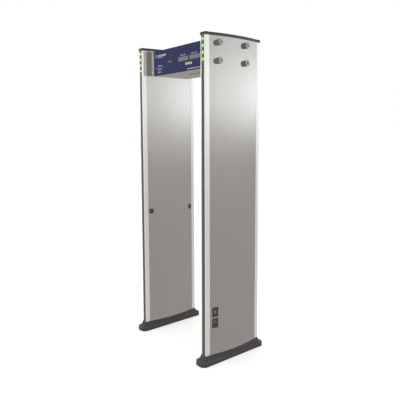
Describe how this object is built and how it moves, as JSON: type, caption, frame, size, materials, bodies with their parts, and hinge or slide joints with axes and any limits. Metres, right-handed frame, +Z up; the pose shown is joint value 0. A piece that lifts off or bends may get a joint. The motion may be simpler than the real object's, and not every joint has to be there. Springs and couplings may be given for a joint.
{
  "type": "walk-through security gate",
  "caption": "Walk-through metal detector gate: two curved sensing panels on flared feet joined by a lit control header, with clamp knobs and a mains inlet.",
  "frame": {"origin": "floor level, midway between the two side panels and midway front to rear", "axes": "+Z up, +X across the passage, -Y towards the entry side with the control fascia"},
  "size_m": [0.9418, 0.577, 2.2],
  "materials": {
    "cap_plastic": "textured satin",
    "pad_rubber": "matt",
    "edge_aluminium": "satin anodised",
    "facing_sheet": "fine brushed satin",
    "strip_plastic": "satin",
    "lamp_green": "glossy, lit",
    "circuit_board": "solder mask",
    "screw_steel": "bright zinc",
    "panel_foam": "open foam",
    "copper_winding": "enamelled copper",
    "sensor_black": "satin black",
    "sensor_lens": "dark infra-red filter",
    "header_steel": "brushed stainless",
    "knob_plastic": "satin with a light end disc",
    "liner_plastic": "matt",
    "liner_grey": "satin",
    "fascia_blue": "satin overlay",
    "display_window": "smoked window",
    "bar_green": "lit",
    "status_lens": "tinted lens",
    "key_pad": "satin",
    "module_black": "satin",
    "rocker_red": "translucent red",
    "contact_metal": "bright nickel",
    "supply_case": "cast compound"
  },
  "bodies": {
    "gate": {"foot_left": "cap_plastic", "foot_right": "cap_plastic", "floor_pads": "pad_rubber", "front_edge_left": "edge_aluminium", "front_edge_right": "edge_aluminium", "rear_edge_left": "edge_aluminium", "rear_edge_right": "edge_aluminium", "outer_facing_left": "facing_sheet", "outer_facing_right": "facing_sheet", "inner_facing_left": "facing_sheet", "inner_facing_right": "facing_sheet", "front_strip_left": "strip_plastic", "front_strip_right": "strip_plastic", "rear_strips": "strip_plastic", "lamp_lenses": "lamp_green", "lamp_boards": "circuit_board", "top_cap_left": "cap_plastic", "top_cap_right": "cap_plastic", "cap_screws": "screw_steel", "foam_core_left": "panel_foam", "foam_core_right": "panel_foam", "transmit_winding": "copper_winding", "receive_windings": "copper_winding", "beam_bezels": "sensor_black", "beam_lenses": "sensor_lens", "end_plate_left": "header_steel", "end_plate_right": "header_steel", "header_studs": "screw_steel", "stud_sleeves": "header_steel", "knob_washers": "knob_plastic", "lid_screws": "screw_steel", "header_tray": "header_steel", "header_lid": "header_steel", "slot_liner": "liner_grey", "fascia": "fascia_blue", "display_windows": "display_window", "display_modules": "liner_plastic", "level_bar": "bar_green", "status_lens": "status_lens", "control_board": "circuit_board", "sounder": "liner_plastic", "switch_frame": "module_black", "inlet_body": "module_black", "inlet_blades": "contact_metal", "power_supply": "supply_case"},
    "knob_left_1": {"knob_left_1": "knob_plastic"},
    "knob_left_2": {"knob_left_2": "knob_plastic"},
    "knob_left_3": {"knob_left_3": "knob_plastic"},
    "knob_left_4": {"knob_left_4": "knob_plastic"},
    "knob_right_1": {"knob_right_1": "knob_plastic"},
    "knob_right_2": {"knob_right_2": "knob_plastic"},
    "knob_right_3": {"knob_right_3": "knob_plastic"},
    "knob_right_4": {"knob_right_4": "knob_plastic"},
    "key_program": {"key_program": "key_pad"},
    "key_access": {"key_access": "key_pad"},
    "key_operate": {"key_operate": "key_pad"},
    "key_back": {"key_back": "key_pad"},
    "key_forward": {"key_forward": "key_pad"},
    "rocker": {"rocker": "rocker_red"},
    "fuse_drawer": {"fuse_drawer": "module_black"}
  },
  "joints": [
    {"name": "knob_left_1_turn", "type": "hinge", "parent": "gate", "child": "knob_left_1", "pos_m": [-0.41576, -0.1645, 2.0205], "axis": [-1, 0, 0], "continuous": true},
    {"name": "knob_left_2_turn", "type": "hinge", "parent": "gate", "child": "knob_left_2", "pos_m": [-0.41576, -0.1645, 2.1355], "axis": [-1, 0, 0], "continuous": true},
    {"name": "knob_left_3_turn", "type": "hinge", "parent": "gate", "child": "knob_left_3", "pos_m": [-0.42484, 0.0605, 2.0205], "axis": [-1, 0, 0], "continuous": true},
    {"name": "knob_left_4_turn", "type": "hinge", "parent": "gate", "child": "knob_left_4", "pos_m": [-0.42484, 0.0605, 2.1355], "axis": [-1, 0, 0], "continuous": true},
    {"name": "knob_right_1_turn", "type": "hinge", "parent": "gate", "child": "knob_right_1", "pos_m": [0.41576, -0.1645, 2.0205], "axis": [1, 0, 0], "continuous": true},
    {"name": "knob_right_2_turn", "type": "hinge", "parent": "gate", "child": "knob_right_2", "pos_m": [0.41576, -0.1645, 2.1355], "axis": [1, 0, 0], "continuous": true},
    {"name": "knob_right_3_turn", "type": "hinge", "parent": "gate", "child": "knob_right_3", "pos_m": [0.42484, 0.0605, 2.0205], "axis": [1, 0, 0], "continuous": true},
    {"name": "knob_right_4_turn", "type": "hinge", "parent": "gate", "child": "knob_right_4", "pos_m": [0.42484, 0.0605, 2.1355], "axis": [1, 0, 0], "continuous": true},
    {"name": "key_program_press", "type": "slide", "parent": "gate", "child": "key_program", "axis": [0, 1, 0], "range_m": [0, 0.001], "stiffness_N_per_m": 400},
    {"name": "key_access_press", "type": "slide", "parent": "gate", "child": "key_access", "axis": [0, 1, 0], "range_m": [0, 0.001], "stiffness_N_per_m": 400},
    {"name": "key_operate_press", "type": "slide", "parent": "gate", "child": "key_operate", "axis": [0, 1, 0], "range_m": [0, 0.001], "stiffness_N_per_m": 400},
    {"name": "key_back_press", "type": "slide", "parent": "gate", "child": "key_back", "axis": [0, 1, 0], "range_m": [0, 0.001], "stiffness_N_per_m": 400},
    {"name": "key_forward_press", "type": "slide", "parent": "gate", "child": "key_forward", "axis": [0, 1, 0], "range_m": [0, 0.001], "stiffness_N_per_m": 400},
    {"name": "rocker_tilt", "type": "hinge", "parent": "gate", "child": "rocker", "pos_m": [0.40541, -0.17149, 0.361], "axis": [0.1689, 0.9856, 0], "range_deg": [-16, 0]},
    {"name": "fuse_drawer_slide", "type": "slide", "parent": "gate", "child": "fuse_drawer", "axis": [0.9856, -0.1689, 0], "range_m": [0, 0.018]}
  ]
}
